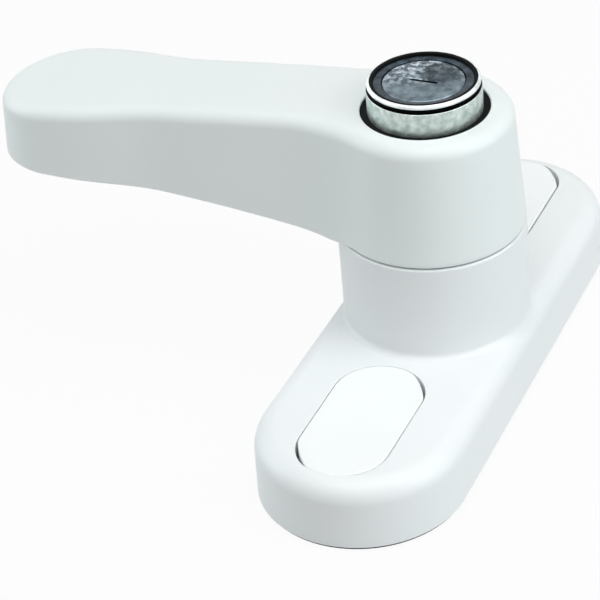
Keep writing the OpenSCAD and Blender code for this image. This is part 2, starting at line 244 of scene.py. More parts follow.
@dataclass(frozen=True)
class PowderCoat(Finish):
    """Polyester powder coat baked on die-cast zinc.

    It gives an even soft gloss with a faint orange peel, and a tone that drifts slightly
    where the film is thicker.
    """

    tone: str
    thick_tone: str
    drift_mm: float = 26.0
    gloss: tuple[float, float] = (0.36, 0.44)
    gloss_mm: float = 6.0
    peel_mm: float = 1.4
    peel_detail: float = 1.5
    peel_strength: float = 0.12
    peel_depth: float = 0.02
    ior: float = 1.5

    def shade(self, nodes: MaterialNodes) -> None:
        """Adds the drifting tone, the uneven gloss and the orange peel.

        Args:
            nodes: the material's nodes.
        """
        nodes.feed("Base Color", nodes.mottle(self.drift_mm, self.tone, self.thick_tone))
        nodes.feed("Roughness", nodes.mottle(self.gloss_mm, *self.gloss))
        nodes.pebble(self.peel_mm, self.peel_detail, self.peel_strength, self.peel_depth)
        nodes.shader.inputs["IOR"].default_value = self.ior


@dataclass(frozen=True)
class MouldedPlastic(Finish):
    """Injection-moulded plastic or rubber.

    The mould leaves a very fine grain that spreads the highlight, with a slight change
    of gloss from flow in the mould.
    """

    tone: str
    flow_tone: str
    grain_mm: float
    grain_strength: float
    gloss: tuple[float, float]
    specular: float
    flow_mm: float = 9.0
    gloss_mm: float = 4.0
    flow_detail: float = 1.0
    grain_detail: float = 2.0
    grain_depth: float = 0.02
    ior: float = 1.53

    def shade(self, nodes: MaterialNodes) -> None:
        """Adds the flow tone, the uneven gloss and the mould grain.

        Args:
            nodes: the material's nodes.
        """
        nodes.feed("Base Color", nodes.mottle(self.flow_mm, self.tone, self.flow_tone, self.flow_detail))
        nodes.feed("Roughness", nodes.mottle(self.gloss_mm, *self.gloss, self.flow_detail))
        nodes.pebble(self.grain_mm, self.grain_detail, self.grain_strength, self.grain_depth)
        nodes.shader.inputs["IOR"].default_value = self.ior
        nodes.shader.inputs["Specular IOR Level"].default_value = self.specular


@dataclass(frozen=True)
class TurnedMetal(Finish):
    """Turned or stamped metal with a plated surface.

    Plating is bright, and the tool's fine marks draw the reflections out into bands
    round the axis. The marks are drawn coarser than real ones so that they show.
    """

    tone: str
    worn_tone: str
    marks: ToolMarks
    mark_mm: float
    mark_strength: float
    cloud_mm: float
    gloss: tuple[float, float]
    gloss_size: float = 0.7
    mark_wander: float = 0.6
    mark_detail: float = 2.0
    mark_depth: float = 0.01

    def tone_at(self, nodes: MaterialNodes) -> NodeSocket:
        """Clouds the plating between its two tones."""
        return nodes.mottle(self.cloud_mm, self.tone, self.worn_tone)

    def shade(self, nodes: MaterialNodes) -> None:
        """Adds the clouded plating and the tool marks.

        Args:
            nodes: the material's nodes.
        """
        nodes.feed("Base Color", self.tone_at(nodes))
        nodes.feed("Roughness", nodes.mottle(self.cloud_mm * self.gloss_size, *self.gloss))
        marks = add_node(
            nodes.tree,
            "ShaderNodeTexWave",
            {
                "Scale": per_metre(self.mark_mm) / WAVE_RATE,
                "Distortion": self.mark_wander,
                "Detail": self.mark_detail,
            },
            {"Vector": nodes.place},
            wave_type=self.marks.value,
            bands_direction="Z",
            rings_direction="Z",
        )
        height = {"Strength": self.mark_strength, "Distance": self.mark_depth * MM}
        bump = add_node(nodes.tree, "ShaderNodeBump", height, {"Height": marks.outputs["Fac"]})
        nodes.feed("Normal", bump.outputs["Normal"])
        nodes.shader.inputs["Metallic"].default_value = 1.0


@dataclass(frozen=True)
class GroovedChrome(TurnedMetal):
    """Chrome plate on a turned barrel.

    The side is left satin and slightly green-grey, the rim is painted brighter as a
    highlight, and the groove between them is painted black as shade.
    """

    rim_highlight_tones: tuple[str, str] = ("#c6d0cf", "#f4f7f7")
    rim_cloud_size: float = 1.5
    groove_shade_tone: str = "#0b0d0e"
    groove_z: float = 47.19
    rim_z: float = 47.9

    def tone_at(self, nodes: MaterialNodes) -> NodeSocket:
        """Stacks the side's, the groove's and the rim's tones by height.

        Args:
            nodes: the material's nodes.

        Returns:
            The tone's output.
        """
        tree = nodes.tree
        side = super().tone_at(nodes)
        # Painted highlight: the rim above the groove gets lighter tones than the side.
        rim_highlight = nodes.mottle(self.cloud_mm * self.rim_cloud_size, *self.rim_highlight_tones)
        height = add_node(tree, "ShaderNodeSeparateXYZ", None, {"Vector": nodes.place}).outputs["Z"]
        above_groove, above_rim = (
            add_node(tree, "ShaderNodeMath", {1: start * MM}, {0: height}, operation="GREATER_THAN")
            for start in (self.groove_z, self.rim_z)
        )
        rim = above_rim.outputs["Value"]
        between = {0: above_groove.outputs["Value"], 1: rim}
        # Painted shade: the band from the groove up to the rim is turned near black.
        groove_shade = add_node(tree, "ShaderNodeMath", None, between, operation="SUBTRACT").outputs["Value"]
        plate = {MIX_SHARE: rim, MIX_UNDER: side, MIX_OVER: rim_highlight}
        side_and_rim = add_node(tree, "ShaderNodeMix", None, plate, data_type="RGBA").outputs[MIX_RESULT]
        black = {MIX_OVER: linear(self.groove_shade_tone)}
        layers = {MIX_SHARE: groove_shade, MIX_UNDER: side_and_rim}
        return add_node(tree, "ShaderNodeMix", black, layers, data_type="RGBA").outputs[MIX_RESULT]


@dataclass(frozen=True)
class StruckMetal(TurnedMetal):
    """Metal with a struck, pebbled face.

    Bright flecks are painted highlights and dark flecks are painted shade, as small dents
    would give them, over a blue-grey ground. They fade toward +X and -Y, and a darker
    round patch is painted beside the keyway.
    """

    fleck_highlight_tone: str = "#d8e3ed"
    fleck_mm: float = 1.0
    fleck_share: float = 0.85
    pit_shade_tone: str = "#1d262c"
    pit_mm: float = 0.7
    pit_share: float = 0.5
    spot_span: tuple[float, float] = (0.46, 0.57)
    spot_detail: float = 2.0
    fade_along: tuple[float, float, float] = (-0.45, 0.89, 0.0)
    fade_mm: tuple[float, float] = (-1.5, 3.5)
    faded_share: float = 0.12
    dark_patch_tone: str = "#14272e"
    dark_patch_at: tuple[float, float, float] = (1.6, 2.7, 48.0)
    dark_patch_mm: tuple[float, float] = (2.0, 3.6)
    dark_patch_share: float = 0.74

    def spots(self, nodes: MaterialNodes, size_mm: float, strength: float) -> NodeSocket:
        """Makes the crisp painted spots, which fade out toward +X and -Y across the face.

        Args:
            nodes: the material's nodes.
            size_mm: size of the spots.
            strength: share of the colour in the spots.

        Returns:
            An output with the spots' share.
        """
        tree = nodes.tree
        scale = {"Scale": per_metre(size_mm), "Detail": self.spot_detail}
        noise = add_node(tree, "ShaderNodeTexNoise", scale, {"Vector": nodes.place})
        low, high = self.spot_span
        edge = {"From Min": low, "From Max": high, "To Min": 0.0, "To Max": strength}
        crisp = add_node(tree, "ShaderNodeMapRange", edge, {"Value": noise.outputs["Fac"]})
        way = {1: self.fade_along}
        along = add_node(tree, "ShaderNodeVectorMath", way, {0: nodes.place}, operation="DOT_PRODUCT")
        start, end = (reach * MM for reach in self.fade_mm)
        span = {"From Min": start, "From Max": end, "To Min": self.faded_share, "To Max": 1.0}
        fade = add_node(tree, "ShaderNodeMapRange", span, {"Value": along.outputs["Value"]})
        both = {0: crisp.outputs["Result"], 1: fade.outputs["Result"]}
        return add_node(tree, "ShaderNodeMath", None, both, operation="MULTIPLY").outputs["Value"]

    def dark_patch(self, nodes: MaterialNodes) -> NodeSocket:
        """Makes the soft, darker round patch that is painted on the face beside the keyway.

        Args:
            nodes: the material's nodes.

        Returns:
            An output with the patch's share.
        """
        middle = {1: tuple(c * MM for c in self.dark_patch_at)}
        away = add_node(
            nodes.tree, "ShaderNodeVectorMath", middle, {0: nodes.place}, operation="DISTANCE"
        )
        start, end = (reach * MM for reach in self.dark_patch_mm)
        patch = add_node(
            nodes.tree,
            "ShaderNodeMapRange",
            {"From Min": start, "From Max": end, "To Min": self.dark_patch_share, "To Max": 0.0},
            {"Value": away.outputs["Value"]},
            interpolation_type="SMOOTHSTEP",
        )
        return patch.outputs["Result"]

    def tone_at(self, nodes: MaterialNodes) -> NodeSocket:
        """Puts painted highlight flecks, painted shade pits and a darker patch over the clouded ground.

        Args:
            nodes: the material's nodes.

        Returns:
            The tone's output.
        """
        tone = super().tone_at(nodes)
        layers = (
            (self.spots(nodes, self.fleck_mm, self.fleck_share), self.fleck_highlight_tone),
            (self.spots(nodes, self.pit_mm, self.pit_share), self.pit_shade_tone),
            (self.dark_patch(nodes), self.dark_patch_tone),
        )
        for share, colour in layers:
            over = {MIX_OVER: linear(colour)}
            under = {MIX_SHARE: share, MIX_UNDER: tone}
            blend = add_node(nodes.tree, "ShaderNodeMix", over, under, data_type="RGBA")
            tone = blend.outputs[MIX_RESULT]
        return tone


# White with a soft sheen, a touch cooler on the lever than on the base under it.
LEVER_COAT = PowderCoat("powder coat on lever", "lever_coat", "#ebf0f0", "#eef2f2")
BASE_COAT = PowderCoat("powder coat on base", "base_coat", "#edf0f1", "#f1f3f4")
# Cleaner white than the coat, and smoother.
CAP_PLASTIC = MouldedPlastic(
    "moulded ABS cap", "cap_plastic", "#f9fafa", "#f7f8f8",
    grain_mm=0.35, grain_strength=0.05, gloss=(0.28, 0.34), specular=0.5,
)
# Dull grey, with hardly any highlight.
GASKET_RUBBER = MouldedPlastic(
    "moulded rubber seal", "gasket_rubber", "#4c4e50", "#565859",
    grain_mm=0.5, grain_strength=0.2, gloss=(0.65, 0.8), specular=0.3,
)
# Deep matt black that draws the lines round the lock.
BLACK_NYLON = MouldedPlastic(
    "moulded black nylon", "black_nylon", "#050506", "#09090a",
    grain_mm=0.4, grain_strength=0.1, gloss=(0.5, 0.6), specular=0.05,
)
# Cream, waxy and soft.
NATURAL_NYLON = MouldedPlastic(
    "moulded natural nylon", "natural_nylon", "#ddd8c8", "#e5e1d3",
    grain_mm=0.4, grain_strength=0.08, gloss=(0.4, 0.5), specular=0.4,
)
# Satin silver side under a rim painted bright as a highlight, with a black line of painted shade between
# them.
BARREL_CHROME = GroovedChrome(
    "chrome plate on turned zinc", "bright_chrome", "#aab8b2", "#dbe3e0", ToolMarks.SIDE,
    mark_mm=0.3, mark_strength=0.08, cloud_mm=1.0, gloss=(0.36, 0.5),
)
# Dark blue-grey gloss that picks up the white round it.
FACE_CHROME = TurnedMetal(
    "black chrome on stamped ring", "black_chrome", "#272f36", "#4c5962", ToolMarks.FACE,
    mark_mm=0.3, mark_strength=0.08, cloud_mm=1.6, gloss=(0.24, 0.4),
)
# Dark blue-grey with painted highlight flecks and painted shade flecks.
PLUG_METAL = StruckMetal(
    "struck black nickel on brass", "dark_plug", "#43535c", "#778790", ToolMarks.FACE,
    mark_mm=0.3, mark_strength=0.10, cloud_mm=2.2, gloss=(0.24, 0.42),
)
# Cool light grey with a soft shine.
ZINC_STEEL = TurnedMetal(
    "zinc plate on stamped steel", "zinc_steel", "#aab0b4", "#bcc2c6", ToolMarks.FACE,
    mark_mm=0.4, mark_strength=0.08, cloud_mm=2.5, gloss=(0.3, 0.45),
)
# Mid grey with fine lines along the wire.
SPRING_STEEL = TurnedMetal(
    "drawn spring steel", "spring_steel", "#84888c", "#989ca0", ToolMarks.SIDE,
    mark_mm=0.3, mark_strength=0.06, cloud_mm=1.5, gloss=(0.28, 0.4),
)
# Dark and dull, with a mottled skin.
SINTERED_STEEL = TurnedMetal(
    "sintered steel", "sintered_steel", "#5f6266", "#74777b", ToolMarks.FACE,
    mark_mm=0.5, mark_strength=0.2, cloud_mm=0.8, gloss=(0.45, 0.6),
)
# Warm yellow with a soft shine.
WAFER_BRASS = TurnedMetal(
    "stamped brass", "wafer_brass", "#b79a52", "#c8ad66", ToolMarks.FACE,
    mark_mm=0.4, mark_strength=0.06, cloud_mm=1.2, gloss=(0.25, 0.4),
)
INNER_FINISHES: dict[str, Finish] = {
    "backing_plate": ZINC_STEEL,
    "bearing_bush": NATURAL_NYLON,
    "lock_ring": SINTERED_STEEL,
    "hub_washer": BLACK_NYLON,
    "detent_springs": SPRING_STEEL,
    "neck_circlip": SPRING_STEEL,
    "neck_washer": ZINC_STEEL,
    "locking_pin": ZINC_STEEL,
    "tail_bar": ZINC_STEEL,
    "plug_clip": SPRING_STEEL,
    "wafers": WAFER_BRASS,
}


def add_object(name: str, data: ID) -> Object:
    """Puts an object with the given data in the scene.

    Args:
        name: name of the object.
        data: its mesh, lamp or camera.

    Returns:
        The new object.
    """
    made = bpy.data.objects.new(name, data)
    bpy.context.scene.collection.objects.link(made)
    return made


def finish_piece(bm: BMesh, name: str, finish: Finish, body: Body, node: str) -> Object:
    """Turns a bmesh into a smooth-shaded piece that rides on its body.

    Args:
        bm: finished mesh, in metres, in the frame's place; it is freed here.
        name: name of the piece.
        finish: finish of its surface.
        body: body that carries it.
        node: CAD node that it stands for.

    Returns:
        The new object.
    """
    bmesh.ops.recalc_face_normals(bm, faces=bm.faces)
    for face in bm.faces:
        face.smooth = True
    for edge in bm.edges:
        edge.smooth = edge.is_manifold and edge.calc_face_angle(0.0) < SHARP_ANGLE
    mesh = bpy.data.meshes.new(name)
    bm.to_mesh(mesh)
    bm.free()
    piece = add_object(name, mesh)
    weights = piece.modifiers.new("face weights", "WEIGHTED_NORMAL")
    weights.keep_sharp = True
    mesh.materials.append(finish.material())
    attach(piece, body.value)
    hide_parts(node)
    LOG.info("%s: %d faces on %s", name, len(mesh.polygons), body.value)
    return piece


def ring_edges(verts: Sequence[BMVert]) -> list[BMEdge]:
    """Gives the edges that join the given vertices to each other.

    Args:
        verts: vertices of a ring.

    Returns:
        The edges, in the order of the vertices.
    """
    chosen = set(verts)
    touching = dict.fromkeys(edge for vert in verts for edge in vert.link_edges)
    return [edge for edge in touching if set(edge.verts) <= chosen]


def round_edges(bm: BMesh, edges: Sequence[BMEdge], radius: float, segments: int) -> None:
    """Rounds edges with a true arc.

    Args:
        bm: mesh to change.
        edges: edges to round.
        radius: radius in millimetres.
        segments: flats in the arc.
    """
    bmesh.ops.recalc_face_normals(bm, faces=bm.faces)
    bmesh.ops.bevel(
        bm,
        geom=list(edges),
        offset=radius * MM,
        offset_type="OFFSET",
        segments=segments,
        profile=0.5,
        affect="EDGES",
        material=-1,
        clamp_overlap=False,
    )


def loop_at(
    bm: BMesh, radius: float, height: float, centre: tuple[float, float] = (0, 0), segments: int = 64
) -> list[BMVert]:
    """Adds a bare circle of edges.

    Args:
        bm: mesh to add to.
        radius: radius in millimetres.
        height: height in millimetres.
        centre: place of the centre in millimetres.
        segments: number of edges.

    Returns:
        The circle's vertices.
    """
    place = Matrix.Translation((centre[0] * MM, centre[1] * MM, height * MM))
    return bmesh.ops.create_circle(bm, segments=segments, radius=radius * MM, matrix=place)["verts"]


def slot_loop(
    bm: BMesh, length: float, width: float, height: float, middle: float = 0.0, segments: int = 96
) -> list[BMVert]:
    """Adds a bare round-ended loop of edges along Y.

    Args:
        bm: mesh to add to.
        length: length in millimetres.
        width: width in millimetres.
        height: height in millimetres.
        middle: Y of its centre in millimetres.
        segments: number of edges.

    Returns:
        The loop's vertices.
    """
    half_step = math.pi / segments
    verts = loop_at(bm, width / 2 / math.cos(half_step), height, (0, middle), segments)
    turn = Matrix.Rotation(half_step, 3, "Z")
    bmesh.ops.rotate(bm, verts=verts, cent=(0, middle * MM, height * MM), matrix=turn)
    for vert in verts:
        vert.co.y += math.copysign((length - width) / 2 * MM, vert.co.y - middle * MM)
    return verts


def fill_between(bm: BMesh, loops: Iterable[Sequence[BMVert]]) -> None:
    """Fills a flat face whose outline and holes are the given loops."""
    edges = [e for loop in loops for e in ring_edges(loop)]
    bmesh.ops.triangle_fill(bm, use_beauty=True, use_dissolve=False, edges=edges, normal=(0, 0, 1))


def extrude_loop(bm: BMesh, verts: Sequence[BMVert], height: float | None = None) -> list[BMVert]:
    """Draws a loop out into a wall.

    Args:
        bm: mesh to change.
        verts: the loop's vertices.
        height: height of the wall's far edge in millimetres, or none to leave it in place.

    Returns:
        The far edge's vertices, in the order of the near edge's.
    """
    made = bmesh.ops.extrude_edge_only(bm, edges=ring_edges(verts))["geom"]
    fresh = {part for part in made if isinstance(part, BMVert)}
    far = []
    for near in verts:
        joined = (edge.other_vert(near) for edge in near.link_edges)
        far.append(next(vert for vert in joined if vert in fresh))
    if height is not None:
        for vert in far:
            vert.co.z = height * MM
    return far


def extrude_shut(bm: BMesh, verts: Sequence[BMVert], height: float) -> list[BMVert]:
    """Draws a loop out into a wall and closes its far end.

    Args:
        bm: mesh to change.
        verts: the loop's vertices.
        height: height of the far end in millimetres.

    Returns:
        The far end's vertices.
    """
    far = extrude_loop(bm, verts, height)
    bmesh.ops.edgeloop_fill(bm, edges=ring_edges(far))
    return far


def step_loop(bm: BMesh, verts: Sequence[BMVert], radius: float, height: float) -> list[BMVert]:
    """Draws a circle about the origin out to another radius and height.

    Args:
        bm: mesh to change.
        verts: the circle's vertices.
        radius: new radius in millimetres.
        height: new height in millimetres.

    Returns:
        The new circle's vertices.
    """
    far = extrude_loop(bm, verts, height)
    for vert in far:
        vert.co.xy = vert.co.xy.normalized() * radius * MM
    return far


def join_shell(bm: BMesh, shell: BMesh) -> None:
    """Adds a second closed shell to a mesh.

    Args:
        bm: mesh that gets the shell.
        shell: the shell; it is freed here.
    """
    carrier = bpy.data.meshes.new("shell")
    shell.to_mesh(carrier)
    shell.free()
    bm.from_mesh(carrier)
    bpy.data.meshes.remove(carrier)


def revolve(profile: Sequence[tuple[float, float]], steps: int = 128) -> BMesh:
    """Spins a closed profile about the Z axis.

    Args:
        profile: radius and height pairs in millimetres.
        steps: steps in the turn.

    Returns:
        The closed ring as a new bmesh.
    """
    bm = bmesh.new()
    verts = [bm.verts.new((r * MM, 0, z * MM)) for r, z in profile]
    edges = [bm.edges.new((a, b)) for a, b in zip(verts, verts[1:] + verts[:1])]
    bmesh.ops.spin(
        bm,
        geom=verts + edges,
        cent=(0, 0, 0),
        axis=(0, 0, 1),
        angle=math.tau,
        steps=steps,
        use_merge=True,
    )
    bmesh.ops.remove_doubles(bm, verts=bm.verts, dist=SAME)
    bmesh.ops.recalc_face_normals(bm, faces=bm.faces)
    return bm


def rings_at(bm: BMesh, corners: Iterable[tuple[float, float]]) -> list[BMEdge]:
    """Finds the round edges of a revolved shape.

    Args:
        bm: revolved mesh.
        corners: radius and height of each wanted edge in millimetres.

    Returns:
        The edges.
    """
    found: list[BMEdge] = []
    for r, z in corners:
        level = [v for v in bm.verts if abs(v.co.z - z * MM) < NEAR]
        found += ring_edges([v for v in level if abs(v.co.xy.length - r * MM) < NEAR])
    return found


@dataclass
class Stack:
    """Heights that the base, the lever and the lock share, in millimetres."""

    base_t: float = 10.4
    gasket_t: float = 0.5
    boss_top: float = 25.5
    hub_bottom: float = 25.8
    hub_floor: float = 29.6
    flange_z: float = 36.0
    hub_top: float = 44.0
    barrel_top: float = 48.4
    bore_r: float = 9.15


@dataclass
class Lever:
    """Die-cast lever: grip, waist, hub with its lock bore, and the neck under it."""

    stack: Stack
    reach: float = 67.0
    hub_d: float = 24.6
    grip_w: float = 20.2
    waist_w: float = 16.6
    grip_hold: float = 3.03
    grip_blend: float = 16.0
    flare_r: float = 30.0
    tip_steps: int = 24
    side_steps: int = 40
    flare_steps: int = 16
    hub_steps: int = 48
    top_fall: float = 5.6
    top_bend_r: float = 60.0
    top_flat_x: float = -14.0
    under_rise: float = 3.5
    under_arc_r: float = 344.0
    under_end_x: float = -11.3
    draft: float = 4.0
    edge_r: float = 1.9
    edge_steps: int = 9
    chamfer: float = 0.4
    foot_r: float = 13.47
    foot_lift: float = 0.02
    foot_h: float = 1.2
    foot_draft: float = 0.08
    foot_wall: float = 0.4
    mouth_r: float = 0.2
    bore_steps: int = 96
    hole_steps: int = 48
    pin_x: float = -7.8
    pin_hole_r: float = 1.05
    pin_steps: int = 24
    tail_l: float = 6.0
    tail_w: float = 3.2
    ledge_z: float = 27.8
    chamber_z: float = 25.4
    chamber_r: float = 3.2
    neck_r: float = 6.6
    neck_bottom: float = 2.0
    clip_groove: tuple[float, float, float] = (5.8, 6.5, 5.3)
    cam_top: float = 5.0
    cam_r: float = 6.55
    cam_flat: float = 5.8
    socket_w: float = 7.1
    socket_top: float = 18.0

    def side(self, x: float) -> float:
        """Gives the half-width of the grip and waist.

        Args:
            x: place along the lever in millimetres.

        Returns:
            The half-width in millimetres.
        """
        grip, waist = self.grip_w / 2, self.waist_w / 2
        start = grip - self.reach + self.grip_hold
        share = min(1.0, max(0.0, (x - start) / self.grip_blend))
        return waist + (grip - waist) * (1 + math.cos(math.pi * share)) / 2

    def top(self, x: float) -> float:
        """Gives the height of the top.

        Args:
            x: place along the lever in millimetres.

        Returns:
            The height in millimetres.
        """
        fall = math.radians(self.top_fall)
        run = max(0.0, self.top_flat_x - x)
        bend = min(run, self.top_bend_r * math.sin(fall))
        curve = self.top_bend_r - math.sqrt(self.top_bend_r**2 - bend**2)
        return self.stack.hub_top - curve - (run - bend) * math.tan(fall)

    def under(self, x: float) -> float:
        """Gives the height of the underside.

        Args:
            x: place along the lever in millimetres.

        Returns:
            The height in millimetres.
        """
        full = math.sqrt(self.under_arc_r**2 - (self.under_arc_r - self.under_rise) ** 2)
        run = max(0.0, min(full, x - self.under_end_x + full))
        drop = self.under_arc_r - math.sqrt(self.under_arc_r**2 - run**2)
        return self.stack.hub_bottom + self.under_rise - drop

    def outline(self) -> list[Vector]:
        """Outline at the hub's top, counter-clockwise from the tip.

        Returns:
            Points in millimetres.
        """
        grip, waist, hub, flare = self.grip_w / 2, self.waist_w / 2, self.hub_d / 2, self.flare_r
        tip = grip - self.reach
        flare_x = -math.sqrt((hub + flare) ** 2 - (waist + flare) ** 2)
        meet = math.atan2(waist + flare, flare_x)
        tip_turns = [math.pi * (1 - k / (2 * self.tip_steps)) for k in range(self.tip_steps)]
        half = [Vector((tip + grip * math.cos(a), grip * math.sin(a))) for a in tip_turns]
        for k in range(self.side_steps + 1):
            x = tip + (flare_x - tip) * k / self.side_steps
            half.append(Vector((x, self.side(x))))
        for k in range(1, self.flare_steps):
            a = 1.5 * math.pi + (meet - math.pi / 2) * k / self.flare_steps
            half.append(Vector((flare_x + flare * math.cos(a), waist + flare + flare * math.sin(a))))
        hub_turns = [meet * (1 - k / self.hub_steps) for k in range(self.hub_steps + 1)]
        half += [Vector((math.cos(a), math.sin(a))) * hub for a in hub_turns]
        return [Vector((p.x, -p.y)) for p in half] + [p.copy() for p in reversed(half[1:-1])]

    @staticmethod
    def split_lid(
        bm: BMesh, ring: Sequence[BMVert], points: Sequence[Vector], end_x: float
    ) -> None:
        """Cuts a lid into strips across the lever, so that it can bend along it.

        Args:
            bm: the casting.
            ring: the lid's outline.
            points: places of the outline's points.
            end_x: place along the lever where the strips end.
        """
        for i in range(1, len(ring) // 2):
            if points[i - 1].x < end_x:
                bmesh.ops.connect_verts(bm, verts=[ring[i], ring[-i]])

    def levels(self) -> list[tuple[float, float, bool]]:
        """Rings of the walls, from the underside to the top.

        Returns:
            For each ring its inset and its distance in height, and whether that is from the top.
        """
        turns = [math.pi / 2 * k / self.edge_steps for k in range(self.edge_steps + 1)]
        edge = [(self.edge_r * (1 - math.cos(a)), self.edge_r * (1 - math.sin(a)), True) for a in turns]
        return [(self.chamfer, 0.0, False), (0.0, self.chamfer, False), *edge]

    def body(self) -> BMesh:
        """Builds the grip and hub as one closed casting.

        Returns:
            The new bmesh.
        """
        points = self.outline()
        ahead = points[1:] + points[:1]
        behind = points[-1:] + points[:-1]
        runs = [a - b for a, b in zip(ahead, behind)]
        outward = [Vector((run.y, -run.x)).normalized() for run in runs]
        bm = bmesh.new()
        first = bmesh.ops.create_circle(bm, cap_ends=True, segments=len(points), radius=1.0)["verts"]
        for vert, point in zip(first, points):
            vert.co = (point.x, point.y, 0.0)
        rings = [first]
        while len(rings) < len(self.levels()):
            rings.append(extrude_loop(bm, rings[-1]))
        bmesh.ops.edgeloop_fill(bm, edges=ring_edges(rings[-1]))
        self.split_lid(bm, rings[0], points, self.under_end_x)
        self.split_lid(bm, rings[-1], points, self.top_flat_x)
        slope = math.tan(math.radians(self.draft))
        for ring, (inset, step, from_top) in zip(rings, self.levels()):
            for vert, point, out in zip(ring, points, outward):
                height = self.top(point.x) - step if from_top else self.under(point.x) + step
                spot = point + out * ((self.stack.hub_top - height) * slope - inset)
                vert.co = Vector((spot.x, spot.y, height)) * MM
        return bm

    @staticmethod
    def open_flat(bm: BMesh, height: float) -> list[BMVert]:
        """Takes out the hub's flat face at a height.

        Args:
            bm: the casting.
            height: height of the face in millimetres.

        Returns:
            The face's outline.
        """
        flat = [f for f in bm.faces if all(abs(v.co.z - height * MM) < SAME for v in f.verts)]
        face = max(flat, key=lambda f: f.calc_area())
        outline = list(face.verts)
        bmesh.ops.delete(bm, geom=[face], context="FACES_ONLY")
        return outline

    def bore(self, bm: BMesh) -> list[BMVert]:
        """Opens the lock's bore, with the ways for the pin and the tail in its floor.

        Args:
            bm: the casting.

        Returns:
            Lower end of the pin's way.
        """
        floor_z = self.stack.hub_floor
        mouth = loop_at(bm, self.stack.bore_r, self.stack.hub_top, segments=self.bore_steps)
        fill_between(bm, [self.open_flat(bm, self.stack.hub_top), mouth])
        floor = extrude_loop(bm, mouth, floor_z)
        pin = loop_at(bm, self.pin_hole_r, floor_z, (self.pin_x, 0), self.pin_steps)
        tail = slot_loop(bm, self.tail_l, self.tail_w, floor_z, segments=self.hole_steps)
        fill_between(bm, [floor, pin, tail])
        ledge = extrude_loop(bm, tail, self.ledge_z)
        chamber = loop_at(bm, self.chamber_r, self.ledge_z, segments=self.hole_steps)
        fill_between(bm, [chamber, ledge])
        extrude_shut(bm, chamber, self.chamber_z)
        pin_exit = extrude_loop(bm, pin, self.stack.hub_bottom)
        round_edges(bm, ring_edges(mouth), self.mouth_r, segments=3)
        return pin_exit

    def neck(self, bm: BMesh, pin_exit: Sequence[BMVert]) -> None:
        """Draws the neck out of the hub, with its clip groove, flats and square socket.

        Args:
            bm: the casting.
            pin_exit: lower end of the pin's way.
        """
        groove_r, groove_top, groove_low = self.clip_groove
        ring = loop_at(bm, self.neck_r, self.stack.hub_bottom)
        fill_between(bm, [self.open_flat(bm, self.stack.hub_bottom), ring, pin_exit])
        for radius, height in (
            (self.neck_r, groove_top),
            (groove_r, groove_top),
            (groove_r, groove_low),
            (self.neck_r, groove_low),
            (self.neck_r, self.cam_top),
            (self.cam_r, self.cam_top),
        ):
            ring = step_loop(bm, ring, radius, height)
        limit = self.cam_flat * MM
        for vert in ring:
            vert.co.x = max(-limit, min(limit, vert.co.x))
            vert.co.y = max(-limit, min(limit, vert.co.y))
        ring = extrude_loop(bm, ring, self.neck_bottom)
        square = loop_at(bm, self.socket_w / math.sqrt(2), self.neck_bottom, segments=4)
        bmesh.ops.rotate(bm, verts=square, cent=(0, 0, 0), matrix=Matrix.Rotation(math.pi / 4, 3, "Z"))
        fill_between(bm, [ring, square])
        extrude_shut(bm, square, self.socket_top)

    def foot(self) -> BMesh:
        """Builds the ring that closes the hub's round foot under the arm.

        Returns:
            The new bmesh.
        """
        low, high = self.stack.hub_bottom + self.foot_lift, self.stack.hub_bottom + self.foot_h
        inner, outer = self.stack.bore_r + self.foot_wall, self.foot_r
        return revolve([(inner, low), (outer, low), (outer - self.foot_draft, high), (inner, high)])

    def build(self) -> None:
        """Builds and dresses the lever."""
        bm = self.body()
        self.neck(bm, self.bore(bm))
        join_shell(bm, self.foot())
        finish_piece(bm, "lever", LEVER_COAT, Body.LEVER, "lever_casting")


